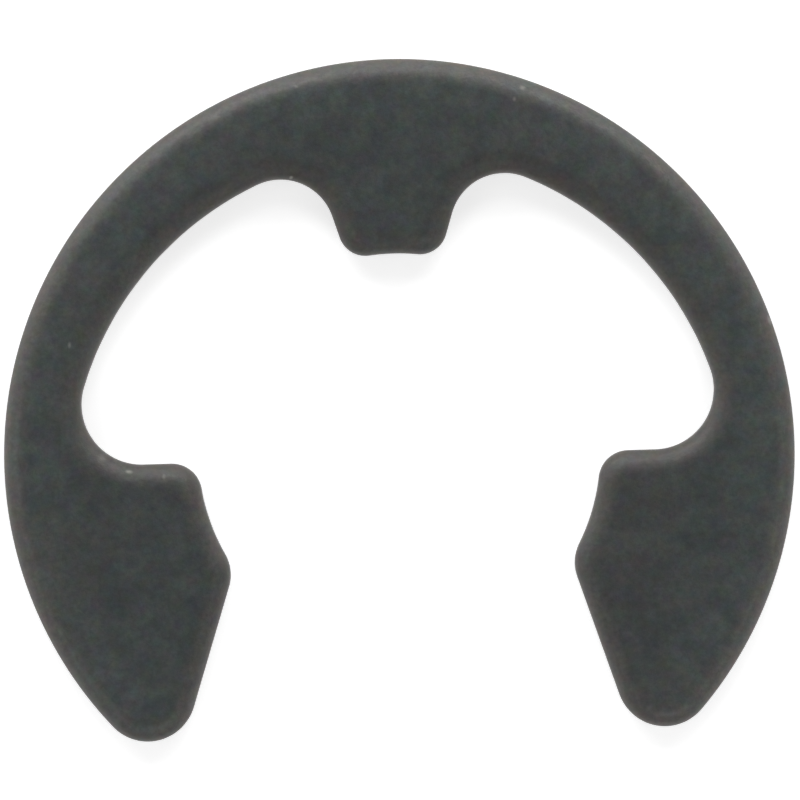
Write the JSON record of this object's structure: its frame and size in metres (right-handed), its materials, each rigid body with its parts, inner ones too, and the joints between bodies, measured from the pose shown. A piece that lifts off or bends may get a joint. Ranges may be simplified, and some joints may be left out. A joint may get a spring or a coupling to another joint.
{
  "type": "e clip",
  "caption": "Flat spring retaining ring for a shaft groove: a C-shaped clip with a tang behind the shaft and a prong on each side that snaps over it.",
  "frame": {"origin": "centre of the shaft seat, in the plane of the face that the clip lies on", "axes": "+Z through the thickness, from the lower face to the face with the rolled edges; the mouth opens along -Y; +X across the clip, which is the same on both sides of the YZ plane"},
  "size_m": [0.0288, 0.0246, 0.0015],
  "materials": {
    "phosphated_steel": "matte"
  },
  "bodies": {
    "root": {"e_clip": "phosphated_steel"}
  },
  "joints": []
}
